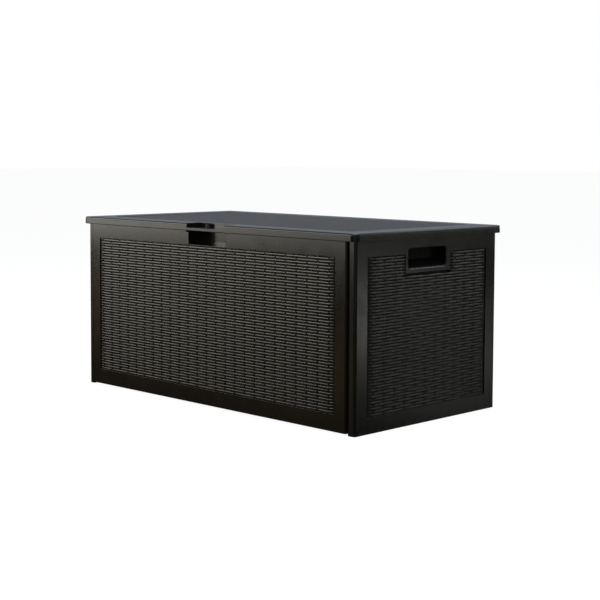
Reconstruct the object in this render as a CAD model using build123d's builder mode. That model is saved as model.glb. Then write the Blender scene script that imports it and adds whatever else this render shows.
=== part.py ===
"""Deck storage box: a flat-pack resin chest with a hinged lid held open by two gas struts.

Frame: +X to the right along the front, -Y out of the front, +Z up. The origin is on the
ground plane, in the middle of the footprint of the box body. Millimetres throughout.
"""

import os
from math import asin, cos, degrees, radians, sin

from build123d import *

# ---------------------------------------------------------------- driving dimensions
body_half_x = 600.0          # outside of the side panels
post_half_y = 313.0          # outside of the corner posts
wall_face_y = 321.0          # outside of the front and back panels, proud of the posts
wall_half_x = 574.0          # half length of the front and back panels
wall_bottom = 6.0            # the long panels stop short of the ground
body_top = 540.0             # top edge of all four panels, hidden inside the lid rim
skin = 4.0                   # moulded wall thickness of the panels
wall_depth = 28.0            # depth of the flanges of the long panels
side_depth = 20.0            # depth of the flanges of the side panels
rib = 2.5                    # thickness of the stiffening ribs
rib_depth = 16.0             # ribs behind the skin of every panel
rib_pitch = 103.0            # spacing of the ribs

field_sink = 3.0             # depth of the recess that holds the woven relief
field_wall = 3.5             # thickness of the recess floor
front_field = (531.5, 54.0, 488.0)    # half length, bottom, top
side_field = (264.0, 46.0, 488.0)     # half length, bottom, top
lid_field = (531.5, 259.0)            # half length, half depth
lid_field_sink = 2.2
lid_field_wall = 3.0

post_inner_x = 576.0         # inner edge of a corner post
post_radius = 7.0
tongue_end_y = 289.0         # the post's tongue ends here

# pull pocket under the lid lip, in the front panel
pocket_half_x = 84.0
pocket_floor = 490.0
pocket_depth = 55.0
pocket_wall = 3.0
relief_half_x = 95.0
relief_floor = 527.0

# hand hold in each side panel
grip_middle_y = -9.0         # the scoop sits a little nearer the front
grip_half_y = 84.0
grip_bottom = 446.0
grip_top = 503.0
grip_depth = 31.0
grip_rise = 25.0             # the floor of the scoop climbs by this much
grip_radius = 9.0
grip_flare = 2.0             # bevel round the mouth of the scoop
grip_margin_y = (-105.0, 94.0)        # plain border round the scoop
grip_margin_bottom = 434.0

# lid
lid_half_x = 612.0
lid_half_y = 328.0
lid_top = 555.0
rim_bottom = 532.0
lid_radius = 18.0
lid_edge_radius = 5.0
rim_edge_radius = 1.8        # lower outer edge of the rim
lid_skin = 3.5
shadow_groove = (547.0, 2.5, 1.4)     # bottom, height, depth
notch_half_x = 85.0
notch_depth = 55.0
lip_top = 541.0
liner_bottom = 540.4
liner_skin = 3.0

# hinge line, behind the back edge of the lid
hinge_y = 336.0
hinge_z = 536.0
knuckle_radius = 7.0
hinge_pin_radius = 3.0
running_gap = 0.06           # radial clearance of the pins
hinge_half_x = 35.0
knuckle_half_x = 15.0
hinge_places = {"left": -420.0, "centre": 0.0, "right": 420.0}
leaf = 3.5

# gas struts: both pivots lie on one circle about the hinge line
strut_x = 560.0
strut_radius = 250.0         # from the hinge line to either pivot
lid_pivot_drop = 10.0        # lid pivot below the hinge line
strut_angle = 70.0           # between the two pivots with the lid shut
eye_half = 4.0
stud_radius = 4.0
tube_radius = 9.0
tube_bore = 7.5
tube_span = (16.0, 252.0)    # along the strut from the body pivot
rod_radius = 4.0
rod_span = (14.0, 254.0)     # along the strut from the lid pivot
piston_length = 10.0

# floor
floor_z = 18.0
floor_skin = 4.0
floor_half_x = 594.0
floor_half_y = 315.0
floor_rib_bottom = 6.0
pad_size = 70.0

big_screw = (2.0, 4.0, 2.2)  # shank radius, head radius, head height
small_screw = (1.75, 3.5, 2.0)
screw_clearance = 0.15


# ---------------------------------------------------------------- helpers
def block(x_span, y_span, z_span, mode=Mode.ADD):
    """Box between two corners, in the part being built."""
    spans = (x_span, y_span, z_span)
    sizes = [abs(high - low) for low, high in spans]
    middle = tuple((low + high) / 2 for low, high in spans)
    with Locations(middle):
        Box(*sizes, mode=mode)


def save(builder, label):
    """Label a finished piece and write it to its own file."""
    builder.part.label = label
    export_step(builder.part, f"parts/{label}.step")


def mirror_sign(name):
    """-1 on the left side of the box, +1 on the right."""
    return -1 if name == "left" else 1


def screw_group(plane, points, screw, length, inward):
    """Pan-head screws at points of a plane; inward is the sign of the shank along its normal."""
    shank_radius, head_radius, head_height = screw
    with BuildPart() as screws:
        with BuildSketch(plane):
            with Locations(*points):
                Circle(shank_radius)
        extrude(amount=inward * length)
        with BuildSketch(plane):
            with Locations(*points):
                Circle(head_radius)
        extrude(amount=-inward * head_height)
        rims = screws.faces().filter_by(Plane(plane.origin, z_dir=plane.z_dir))
        crowns = rims.group_by(Axis(plane.origin, plane.z_dir * -inward))[-1]
        fillet(crowns.edges(), head_height * 0.35)
    return screws


def drill(plane, points, radius, depth):
    """Straight holes at points of a plane, in the part being built."""
    with BuildSketch(plane) as holes:
        with Locations(*points):
            Circle(radius)
    extrude(holes.sketch, amount=depth, mode=Mode.SUBTRACT)


# ---------------------------------------------------------------- fastener places
corner_screw_y = 300.0
corner_screw_heights = (90.0, 270.0, 450.0)
hinge_screw_offsets = [(x, z) for x in (-26.0, 26.0) for z in (499.0, 517.0)]
leaf_screw_offsets = [(x, 549.7) for x in (-26.0, 0.0, 26.0)]
bracket_screw_reach = 20.0

lid_pivot_angle = degrees(asin(lid_pivot_drop / strut_radius))
body_pivot_angle = lid_pivot_angle + strut_angle
lid_pivot = (
    hinge_y - strut_radius * cos(radians(lid_pivot_angle)),
    hinge_z - strut_radius * sin(radians(lid_pivot_angle)),
)
body_pivot = (
    hinge_y - strut_radius * cos(radians(body_pivot_angle)),
    hinge_z - strut_radius * sin(radians(body_pivot_angle)),
)
lid_bracket_screws = [lid_pivot[0] - bracket_screw_reach - 2, lid_pivot[0] + bracket_screw_reach + 2]


# ---------------------------------------------------------------- long panels
def long_panel(out):
    """Front (out = 1) or back (out = -1) panel: a tray with ribs and a recessed field."""
    half_field, field_bottom, field_top = front_field
    face = out * wall_face_y
    inside = face - out * wall_depth
    with BuildPart() as panel:
        block((-wall_half_x, wall_half_x), (-face, -inside), (wall_bottom, body_top))
        upright = panel.edges().filter_by(Axis.Z)
        fillet(upright.group_by(Axis.Y)[0 if out == 1 else -1], 5)
        open_face = panel.faces().sort_by(Axis.Y)[-1 if out == 1 else 0]
        offset(amount=-skin, openings=open_face)
        # ribs behind the skin
        rib_y = (-face + out * skin * 0.5, -face + out * (skin + rib_depth))
        for column in range(-5, 6):
            middle = column * rib_pitch
            block((middle - rib / 2, middle + rib / 2), rib_y, (floor_z + 4.5, body_top - skin / 2))
        for row in range(1, 5):
            height = 22.0 + row * rib_pitch
            block((-wall_half_x + 2, wall_half_x - 2), rib_y, (height - rib / 2, height + rib / 2))
        # ledge that carries the floor
        block((-wall_half_x + 2, wall_half_x - 2), rib_y, (floor_z - 4, floor_z))
        # hook lips that close the groove beside each post
        for side in (-1, 1):
            block(
                (side * (wall_half_x - 1), side * (post_inner_x - 0.05)),
                (-inside - out * 4, -inside),
                (wall_bottom, body_top),
            )
        # recess for the woven relief
        block(
            (-half_field - 4, half_field + 4),
            (-face + out * skin * 0.5, -face + out * (field_sink + field_wall)),
            (field_bottom - 4, field_top + 4),
        )
        block(
            (-half_field, half_field),
            (-face, -face + out * field_sink),
            (field_bottom, field_top),
            mode=Mode.SUBTRACT,
        )
        # holes for the corner screws
        for side in (-1, 1):
            points = [(-out * corner_screw_y, z) for z in corner_screw_heights]
            drill(Plane.YZ.offset(side * (wall_half_x - skin - 1)), points,
                  big_screw[0] + screw_clearance, side * 12)
    return panel


def front_panel_build():
    """Front panel with the pull pocket under the lid lip."""
    panel = long_panel(1)
    back = -wall_face_y + pocket_depth
    tier = relief_floor - pocket_wall
    with panel:
        block((-pocket_half_x - pocket_wall, pocket_half_x + pocket_wall),
              (-wall_face_y + 1, back + pocket_wall), (pocket_floor - pocket_wall, tier + 1))
        block((-relief_half_x - pocket_wall, relief_half_x + pocket_wall),
              (-wall_face_y + 1, back + pocket_wall), (tier, body_top))
        block((-pocket_half_x, pocket_half_x), (-wall_face_y - 1, back),
              (pocket_floor, body_top + 1), mode=Mode.SUBTRACT)
        block((-relief_half_x, relief_half_x), (-wall_face_y - 1, back),
              (relief_floor, body_top + 1), mode=Mode.SUBTRACT)
        # slot that the lock staple is pushed through
        block((staple_x - staple_half - 0.2, staple_x + staple_half + 0.2),
              (back - 1, back + pocket_wall + 1), (staple_arm[0] - 0.2, staple_arm[1] + 0.2),
              mode=Mode.SUBTRACT)
    return panel


def back_panel_build():
    """Back panel with a screw boss behind each hinge."""
    panel = long_panel(-1)
    with panel:
        for middle in hinge_places.values():
            block((middle - 40, middle + 40), (wall_face_y - skin - 12, wall_face_y - 2), (489, 532))
            points = [(middle + x, z) for x, z in hinge_screw_offsets]
            drill(Plane.XZ.offset(-wall_face_y - 1), points, big_screw[0] + screw_clearance, 16)
    return panel


# ---------------------------------------------------------------- side panels
def grip_scoop(out, grow, mouth, depth):
    """Scoop of a hand hold: a rounded opening whose floor climbs towards its back wall."""
    with BuildPart() as scoop:
        with BuildSketch(Plane.YZ.offset(out * mouth)):
            with Locations((grip_middle_y, (grip_bottom + grip_top) / 2)):
                RectangleRounded(
                    2 * (grip_half_y + grow), grip_top - grip_bottom + 2 * grow, grip_radius + grow
                )
        extrude(amount=-out * (depth + grow))
        slope = grip_rise / grip_depth
        with BuildSketch(Plane.XZ):
            with BuildLine():
                Polyline(
                    (out * body_half_x, grip_bottom - grow * 1.3),
                    (out * (body_half_x - 60), grip_bottom - grow * 1.3 + 60 * slope),
                    (out * (body_half_x - 60), grip_bottom - 40),
                    (out * body_half_x, grip_bottom - 40),
                    close=True,
                )
            make_face()
        extrude(amount=200, both=True, mode=Mode.SUBTRACT)
    return scoop


def side_panel(out):
    """Left (out = -1) or right (out = 1) panel with its two corner posts and its hand hold."""
    half_field, field_bottom, field_top = side_field
    face = out * body_half_x
    scoop_shell = grip_scoop(out, pocket_wall, body_half_x - 1, grip_depth - 1)
    scoop_space = grip_scoop(out, 0, body_half_x + 0.5, grip_depth + 0.5)
    with BuildPart() as panel:
        block((face - out * side_depth, face), (-post_half_y, post_half_y), (0, body_top))
        upright = panel.edges().filter_by(Axis.Z)
        fillet(upright.group_by(Axis.X)[-1 if out == 1 else 0], post_radius)
        open_face = panel.faces().sort_by(Axis.X)[0 if out == 1 else -1]
        offset(amount=-skin, openings=open_face)
        # corner posts: a return on the front and on the back, with a tongue turned inwards
        for end in (-1, 1):
            block((out * post_inner_x, face - out * (side_depth - 1)),
                  (end * (post_half_y - skin), end * post_half_y), (0, body_top))
            block((out * post_inner_x, out * (post_inner_x + skin)),
                  (end * tongue_end_y, end * (post_half_y - 1)), (0, body_top))
        # ribs behind the skin
        rib_x = (face - out * skin * 0.5, face - out * (skin + rib_depth))
        for column in range(-2, 3):
            middle = column * rib_pitch
            block(rib_x, (middle - rib / 2, middle + rib / 2), (floor_z + 4.5, body_top - skin / 2))
        for row in range(1, 5):
            height = 22.0 + row * rib_pitch
            block(rib_x, (2 - tongue_end_y, tongue_end_y - 2), (height - rib / 2, height + rib / 2))
        # ledge that carries the floor
        block(rib_x, (2 - tongue_end_y, tongue_end_y - 2), (floor_z - 4, floor_z))
        # recess for the woven relief, with a plain border round the hand hold
        with BuildSketch(Plane.YZ.offset(face)) as field:
            with Locations((0, (field_bottom + field_top) / 2)):
                Rectangle(2 * half_field, field_top - field_bottom)
            with Locations((sum(grip_margin_y) / 2, (grip_margin_bottom + field_top) / 2 + 0.5)):
                Rectangle(grip_margin_y[1] - grip_margin_y[0],
                          field_top - grip_margin_bottom + 1, mode=Mode.SUBTRACT)
        block(
            (face - out * skin * 0.5, face - out * (field_sink + field_wall)),
            (-half_field - 4, half_field + 4),
            (field_bottom - 4, field_top + 4),
        )
        extrude(field.sketch, amount=-out * field_sink, mode=Mode.SUBTRACT)
        # hand hold
        add(scoop_shell.part)
        add(scoop_space.part, mode=Mode.SUBTRACT)
        with BuildSketch(Plane.YZ.offset(face)) as flare:
            with Locations((grip_middle_y, (grip_bottom + grip_top) / 2)):
                RectangleRounded(
                    2 * (grip_half_y + grip_flare),
                    grip_top - grip_bottom + 2 * grip_flare,
                    grip_radius + grip_flare,
                )
        extrude(flare.sketch, amount=-out * grip_flare, taper=45, mode=Mode.SUBTRACT)
        # boss for the strut bracket, and its screw holes
        pivot_y, pivot_z = body_pivot
        block((face - out * 2, face - out * side_depth), (pivot_y - 15, pivot_y + 15),
              (pivot_z - 32, pivot_z + 32))
        points = [(pivot_y, pivot_z + end * bracket_screw_reach) for end in (-1, 1)]
        drill(Plane.YZ.offset(face - out * side_depth), points,
              big_screw[0] + screw_clearance, out * 14)
        # holes for the corner screws
        points = [(end * corner_screw_y, z) for end in (-1, 1) for z in corner_screw_heights]
        drill(Plane.YZ.offset(out * (post_inner_x - 1)), points,
              big_screw[0] + screw_clearance, out * 8)
    return panel


# ---------------------------------------------------------------- floor
def floor_build():
    """Floor panel: a plate on the panels' ledges, with ribs below."""
    with BuildPart() as panel:
        block((-floor_half_x, floor_half_x), (-floor_half_y, floor_half_y),
              (floor_z, floor_z + floor_skin))
        for x_side in (-1, 1):
            for y_side in (-1, 1):
                block((x_side * 566, x_side * 600), (y_side * 286, y_side * 320),
                      (floor_z - 1, floor_z + floor_skin + 1), mode=Mode.SUBTRACT)
        for column in range(-5, 6):
            middle = column * rib_pitch
            block((middle - rib / 2, middle + rib / 2), (-270, 270),
                  (floor_rib_bottom, floor_z + 1))
        for row in range(-2, 3):
            middle = row * rib_pitch
            block((-540, 540), (middle - rib / 2, middle + rib / 2),
                  (floor_rib_bottom, floor_z + 1))
    return panel


def floor_pads_build():
    """Five separate pads that hold the floor's ribs off the ground."""
    places = [(x, y) for x in (-450.0, 450.0) for y in (-206.0, 206.0)] + [(0.0, 0.0)]
    with BuildPart() as pads:
        with BuildSketch(Plane.XY):
            with Locations(*places):
                RectangleRounded(pad_size, pad_size, 8)
        extrude(amount=floor_rib_bottom)
    return pads


# ---------------------------------------------------------------- lock staple
staple_x = -38.0
staple_half = 3.0
staple_arm = (529.5, 536.5)
staple_top = 551.5


def staple_build():
    """Staple that stands up through the lid lip and takes a padlock shackle."""
    wall = -wall_face_y + pocket_depth
    with BuildPart() as staple:
        with BuildSketch(Plane.YZ.offset(staple_x - staple_half)):
            with BuildLine():
                Polyline(
                    (wall + pocket_wall + 4, staple_arm[0]),
                    (wall + pocket_wall + 4, staple_arm[1]),
                    (wall - 9, staple_arm[1]),
                    (wall - 9, staple_top),
                    (wall - 23, staple_top),
                    (wall - 23, staple_arm[0]),
                    close=True,
                )
            make_face()
            with Locations((wall - 16, 545.4)):
                Circle(3.6, mode=Mode.SUBTRACT)
        extrude(amount=2 * staple_half)
        crown = staple.edges().filter_by(Axis.X).group_by(Axis.Z)[-1]
        fillet(crown, 4)
        # flange that bears on the inside of the pocket wall
        block((staple_x - 14, staple_x + 14), (wall + pocket_wall + 0.05, wall + pocket_wall + 4),
              (512, staple_arm[1]))
    return staple


# ---------------------------------------------------------------- lid
def lid_shell_build():
    """Outer skin of the lid: a shallow tray turned down, with the lip notch at the front."""
    low, height, depth = shadow_groove
    back = -lid_half_y + notch_depth
    with BuildPart() as shell:
        with BuildSketch(Plane.XY.offset(rim_bottom)):
            RectangleRounded(2 * lid_half_x, 2 * lid_half_y, lid_radius)
        extrude(amount=lid_top - rim_bottom)
        fillet(shell.faces().sort_by(Axis.Z)[-1].edges(), lid_edge_radius)
        offset(amount=-lid_skin, openings=shell.faces().sort_by(Axis.Z)[0])
        fillet(shell.faces().sort_by(Axis.Z)[0].outer_wire().edges(), rim_edge_radius)
        with BuildSketch(Plane.XY.offset(low)) as ring:
            RectangleRounded(2 * lid_half_x + 2, 2 * lid_half_y + 2, lid_radius + 1)
            RectangleRounded(2 * (lid_half_x - depth), 2 * (lid_half_y - depth),
                             lid_radius - depth, mode=Mode.SUBTRACT)
        extrude(ring.sketch, amount=height, mode=Mode.SUBTRACT)
        # recess for the woven relief on top
        field_x, field_y = lid_field
        recess_floor = lid_top - lid_field_sink
        block((-field_x - 3, field_x + 3), (-field_y - 3, field_y + 3),
              (recess_floor - lid_field_wall, lid_top - 1))
        block((-field_x, field_x), (-field_y, field_y), (recess_floor, lid_top + 1),
              mode=Mode.SUBTRACT)
        # lip notch: floor, side walls and back wall, then the space itself
        block((-notch_half_x - lid_skin, notch_half_x + lid_skin),
              (-lid_half_y + 1.6, back + lid_skin), (lip_top - lid_skin, lid_top - lid_skin + 0.5))
        block((-notch_half_x, notch_half_x), (-lid_half_y - 1, back), (lip_top, lid_top + 1),
              mode=Mode.SUBTRACT)
        # slot for the lock staple
        wall = -wall_face_y + pocket_depth
        block((staple_x - staple_half - 1.5, staple_x + staple_half + 1.5),
              (wall - 25.5, wall - 7.2), (lip_top - lid_skin - 1, lip_top + 1), mode=Mode.SUBTRACT)
        # bosses behind the hinge leaves
        for middle in hinge_places.values():
            block((middle - 34, middle + 34), (lid_half_y - 14, lid_half_y - 2),
                  (545, lid_top - lid_skin + 0.5))
            points = [(middle + x, z) for x, z in leaf_screw_offsets]
            drill(Plane.XZ.offset(-lid_half_y - 1), points, small_screw[0] + screw_clearance, 13)
    return shell


def lid_liner_build():
    """Inner skin of the lid, with ribs above it and pressed beads on its underside."""
    with BuildPart() as liner:
        with BuildSketch(Plane.XY.offset(liner_bottom)):
            RectangleRounded(2 * (lid_half_x - lid_skin - 1), 2 * (lid_half_y - lid_skin - 1),
                             lid_radius - lid_skin - 1)
        extrude(amount=liner_skin)
        rib_z = (liner_bottom + liner_skin / 2, lid_top - lid_field_sink - lid_field_wall - 0.2)
        for column in range(-5, 6):
            middle = column * rib_pitch
            block((middle - rib / 2, middle + rib / 2), (-305, 305), rib_z)
        for row in range(-2, 3):
            middle = row * rib_pitch
            block((-590, 590), (middle - rib / 2, middle + rib / 2), rib_z)
        block((-notch_half_x - lid_skin - 2, notch_half_x + lid_skin + 2),
              (-lid_half_y, -lid_half_y + notch_depth + lid_skin + 1),
              (liner_bottom - 1, lid_top), mode=Mode.SUBTRACT)
        # beads on the underside
        with BuildSketch(Plane.XY.offset(liner_bottom)) as beads:
            with GridLocations(4.2 * 30, 1, 8, 1):
                with Locations((0, 18)):
                    RectangleRounded(44, 520, 20)
        extrude(beads.sketch, amount=-4, taper=30)
        # pilot holes for the strut brackets
        points = [(side * bracket_screw_x, y) for side in (-1, 1) for y in lid_bracket_screws]
        drill(Plane.XY.offset(liner_bottom - 0.5), points, big_screw[0] + screw_clearance, 12)
    return liner


# ---------------------------------------------------------------- hinges
def lower_leaf(middle):
    """Hinge leaf screwed to the back panel, with the middle knuckle."""
    with BuildPart() as lower:
        block((middle - hinge_half_x, middle + hinge_half_x),
              (wall_face_y, wall_face_y + leaf), (490, 526))
        fillet(lower.edges().filter_by(Axis.Y), 5)
        with BuildSketch(Plane.YZ.offset(middle - knuckle_half_x)) as neck:
            with BuildLine():
                Polyline(
                    (wall_face_y, 505),
                    (wall_face_y + leaf, 505),
                    (hinge_y + knuckle_radius * 0.9, hinge_z - 3),
                    (hinge_y, hinge_z),
                    (hinge_y - knuckle_radius * 0.9, hinge_z - 3),
                    (wall_face_y + 3, 526),
                    (wall_face_y, 526),
                    close=True,
                )
            make_face()
            with Locations((hinge_y, hinge_z)):
                Circle(knuckle_radius)
                Circle(hinge_pin_radius + running_gap, mode=Mode.SUBTRACT)
        extrude(neck.sketch, amount=2 * knuckle_half_x)
        points = [(middle + x, z) for x, z in hinge_screw_offsets]
        drill(Plane.XZ.offset(-wall_face_y - leaf - 1), points, big_screw[0] + screw_clearance, leaf + 2)
    return lower


def upper_leaf(middle):
    """Hinge leaf screwed to the lid rim, with the two outer knuckles."""
    with BuildPart() as upper:
        block((middle - hinge_half_x, middle + hinge_half_x),
              (lid_half_y, lid_half_y + 3), (545.2, 554))
        for start in (-hinge_half_x, knuckle_half_x + 0.4):
            with BuildSketch(Plane.YZ.offset(middle + start)) as knuckle:
                with BuildLine():
                    Polyline(
                        (lid_half_y, hinge_z - 1),
                        (hinge_y, hinge_z - 1),
                        (hinge_y + 4, hinge_z + 5.5),
                        (lid_half_y + 3, 545.6),
                        (lid_half_y, 545.6),
                        close=True,
                    )
                make_face()
                with Locations((hinge_y, hinge_z)):
                    Circle(knuckle_radius)
                    Circle(hinge_pin_radius + running_gap, mode=Mode.SUBTRACT)
            extrude(knuckle.sketch, amount=hinge_half_x - knuckle_half_x - 0.4)
        points = [(middle + x, z) for x, z in leaf_screw_offsets]
        drill(Plane.XZ.offset(-lid_half_y - 4), points, small_screw[0] + screw_clearance, 5)
    return upper


def hinge_pin(middle):
    """Hinge pin with a low head at each end."""
    with BuildPart() as pin:
        with BuildSketch(Plane.YZ.offset(middle - hinge_half_x - 0.4)):
            with Locations((hinge_y, hinge_z)):
                Circle(hinge_pin_radius)
        extrude(amount=2 * (hinge_half_x + 0.4))
        for start, height in ((hinge_half_x + 0.4, 2), (-hinge_half_x - 0.4, -2)):
            with BuildSketch(Plane.YZ.offset(middle + start)) as head:
                with Locations((hinge_y, hinge_z)):
                    Circle(hinge_pin_radius + 1.8)
            extrude(head.sketch, amount=height)
    return pin


# ---------------------------------------------------------------- gas struts
bracket_screw_x = strut_x - 2
stud_head = (6.5, 2.5)       # radius, thickness
bracket_plate = 2.5


def strut_plane(side, start, end):
    """Plane at one pivot with its normal towards the other."""
    origin = (mirror_sign(side) * strut_x, *start)
    return Plane(origin, x_dir=(1, 0, 0), z_dir=(0, end[0] - start[0], end[1] - start[1]))


def stud(side, pivot, collar_from):
    """Shouldered stud for a strut eye, in the part being built."""
    out = mirror_sign(side)
    spans = (
        (6.0, out * collar_from, out * (strut_x + eye_half + 0.4)),
        (stud_radius, out * (strut_x + eye_half + 1), out * (strut_x - eye_half - 0.4)),
        (stud_head[0], out * (strut_x - eye_half - 0.4), out * (strut_x - eye_half - 0.4 - stud_head[1])),
    )
    for radius, start, end in spans:
        with BuildSketch(Plane.YZ.offset(start)) as section:
            with Locations(pivot):
                Circle(radius)
        extrude(section.sketch, amount=end - start)


def strut_eye(side, start, end, shank):
    """Eye fitting of a strut: a ring round the stud with a shank along the strut."""
    with BuildPart() as eye:
        with BuildSketch(strut_plane(side, start, end)):
            Circle(6)
        extrude(amount=shank)
        with BuildSketch(Plane.YZ.offset(mirror_sign(side) * strut_x - eye_half)) as ring:
            with Locations(start):
                Circle(9)
        extrude(ring.sketch, amount=2 * eye_half)
        for flank in (-1, 1):
            start_x = mirror_sign(side) * strut_x + flank * eye_half
            block((start_x, start_x + flank * 4), (start[0] - 7, start[0] + 7),
                  (start[1] - 7, start[1] + 7), mode=Mode.SUBTRACT)
        drill(Plane.YZ.offset(mirror_sign(side) * strut_x - 12), [start], stud_radius + running_gap, 24)
    return eye


def strut_tube(side):
    """Pressure tube of a strut, closed at its lower end."""
    low, high = tube_span
    with BuildPart() as tube:
        axis_plane = strut_plane(side, body_pivot, lid_pivot)
        with BuildSketch(axis_plane.offset(low)):
            Circle(tube_radius)
        extrude(amount=high - low)
        with BuildSketch(axis_plane.offset(low + 4)) as bore:
            Circle(tube_bore)
        extrude(bore.sketch, amount=high - low, mode=Mode.SUBTRACT)
        fillet(tube.edges().filter_by(GeomType.CIRCLE).sort_by(Axis.Z)[0], 1.5)
    return tube


def strut_gland(side):
    """Rod guide in the mouth of the tube."""
    high = tube_span[1]
    with BuildPart() as gland:
        axis_plane = strut_plane(side, body_pivot, lid_pivot)
        with BuildSketch(axis_plane.offset(high - 12)):
            Circle(tube_bore)
        extrude(amount=12)
        with BuildSketch(axis_plane.offset(high)) as cap:
            Circle(tube_radius)
        extrude(cap.sketch, amount=3)
        with BuildSketch(axis_plane.offset(high - 13)) as bore:
            Circle(rod_radius + running_gap)
        extrude(bore.sketch, amount=18, mode=Mode.SUBTRACT)
    return gland


def strut_rod(side):
    """Piston rod."""
    start, end = rod_span
    with BuildPart() as rod:
        with BuildSketch(strut_plane(side, lid_pivot, body_pivot).offset(start)):
            Circle(rod_radius)
        extrude(amount=end - start)
    return rod


def strut_piston(side):
    """Piston on the end of the rod, inside the tube."""
    with BuildPart() as piston:
        with BuildSketch(strut_plane(side, lid_pivot, body_pivot).offset(rod_span[1])):
            Circle(tube_bore - running_gap)
        extrude(amount=piston_length)
    return piston


def body_bracket(side):
    """Strut bracket on the side panel."""
    out = mirror_sign(side)
    pivot_y, pivot_z = body_pivot
    inside = body_half_x - side_depth
    with BuildPart() as bracket:
        with BuildSketch(Plane.YZ.offset(out * inside)):
            with Locations(body_pivot):
                SlotOverall(60, 24, rotation=90)
        extrude(amount=-out * bracket_plate)
        stud(side, body_pivot, inside - bracket_plate + 0.5)
        points = [(pivot_y, pivot_z + end * bracket_screw_reach) for end in (-1, 1)]
        drill(Plane.YZ.offset(out * (inside + 1)), points, big_screw[0] + screw_clearance, -out * 5)
    return bracket


def lid_bracket(side):
    """Strut bracket under the lid: a plate with an ear that carries the stud."""
    out = mirror_sign(side)
    pivot_y, pivot_z = lid_pivot
    ear_x = (out * (strut_x + 7), out * (strut_x + 7 + bracket_plate))
    with BuildPart() as bracket:
        block((out * (strut_x - 12), ear_x[1]), (pivot_y - 30, pivot_y + 30),
              (liner_bottom - bracket_plate, liner_bottom))
        fillet(bracket.edges().filter_by(Axis.Z), 4)
        with BuildSketch(Plane.YZ.offset(ear_x[0])) as ear:
            with Locations(lid_pivot):
                Circle(9)
            with BuildLine():
                Polyline(
                    (pivot_y - 9, pivot_z),
                    (pivot_y + 9, pivot_z),
                    (pivot_y + 14, liner_bottom - 1),
                    (pivot_y - 14, liner_bottom - 1),
                    close=True,
                )
            make_face()
        extrude(ear.sketch, amount=out * bracket_plate)
        stud(side, lid_pivot, strut_x + 8)
        points = [(out * bracket_screw_x, y) for y in lid_bracket_screws]
        drill(Plane.XY.offset(liner_bottom - 4), points, big_screw[0] + screw_clearance, 6)
    return bracket


# ---------------------------------------------------------------- build and write everything
os.makedirs("parts", exist_ok=True)

save(front_panel_build(), "front_panel")
save(back_panel_build(), "back_panel")
save(side_panel(-1), "left_side_panel")
save(side_panel(1), "right_side_panel")
save(floor_build(), "floor_panel")
save(floor_pads_build(), "floor_pads")
save(staple_build(), "lock_staple")
save(lid_shell_build(), "lid_outer_shell")
save(lid_liner_build(), "lid_inner_liner")

for place, middle in hinge_places.items():
    save(lower_leaf(middle), f"hinge_lower_leaf_{place}")
    save(upper_leaf(middle), f"hinge_upper_leaf_{place}")
    save(hinge_pin(middle), f"hinge_pin_{place}")

for side in ("left", "right"):
    save(body_bracket(side), f"strut_body_bracket_{side}")
    save(lid_bracket(side), f"strut_lid_bracket_{side}")
    save(strut_eye(side, body_pivot, lid_pivot, tube_span[0]), f"strut_lower_eye_{side}")
    save(strut_tube(side), f"strut_tube_{side}")
    save(strut_gland(side), f"strut_gland_{side}")
    save(strut_rod(side), f"strut_rod_{side}")
    save(strut_piston(side), f"strut_piston_{side}")
    save(strut_eye(side, lid_pivot, body_pivot, rod_span[0]), f"strut_upper_eye_{side}")

    # corner screws, from inside the box through the panel flange into the post
    sign = mirror_sign(side)
    corner_points = [(end * corner_screw_y, z) for end in (-1, 1) for z in corner_screw_heights]
    corner_plane = Plane.YZ.offset(sign * (wall_half_x - skin))
    save(screw_group(corner_plane, corner_points, big_screw, 14, sign), f"corner_screws_{side}")

    # bracket screws on the side panel and under the lid
    bracket_points = [(body_pivot[0], body_pivot[1] + end * bracket_screw_reach) for end in (-1, 1)]
    bracket_face = Plane.YZ.offset(sign * (body_half_x - side_depth - bracket_plate))
    save(screw_group(bracket_face, bracket_points, big_screw, 14, sign), f"body_bracket_screws_{side}")
    lid_points = [(sign * bracket_screw_x, y) for y in lid_bracket_screws]
    save(screw_group(Plane.XY.offset(liner_bottom - bracket_plate), lid_points, big_screw, 9, 1),
         f"lid_bracket_screws_{side}")

lower_points = [(m + x, z) for m in hinge_places.values() for x, z in hinge_screw_offsets]
lower_plane = Plane.XZ.offset(-wall_face_y - leaf)
save(screw_group(lower_plane, lower_points, big_screw, 16, 1), "hinge_panel_screws")
upper_points = [(m + x, z) for m in hinge_places.values() for x, z in leaf_screw_offsets]
upper_plane = Plane.XZ.offset(-lid_half_y - 3)
save(screw_group(upper_plane, upper_points, small_screw, 13, 1), "hinge_lid_screws")
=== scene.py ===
"""Looks of a resin deck storage box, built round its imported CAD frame.

Every piece is in metres in the CAD frame: +X to the right along the front, -Y out of the
front, +Z up from the ground. The CAD gives the panels, lid, hinges and gas struts; this
script adds the woven relief in their recesses, the finishes, the studio and the camera.
"""

import logging
import math
from dataclasses import dataclass, field
from enum import Enum

import bpy
import numpy as np
from mathutils import Matrix, Vector


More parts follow.
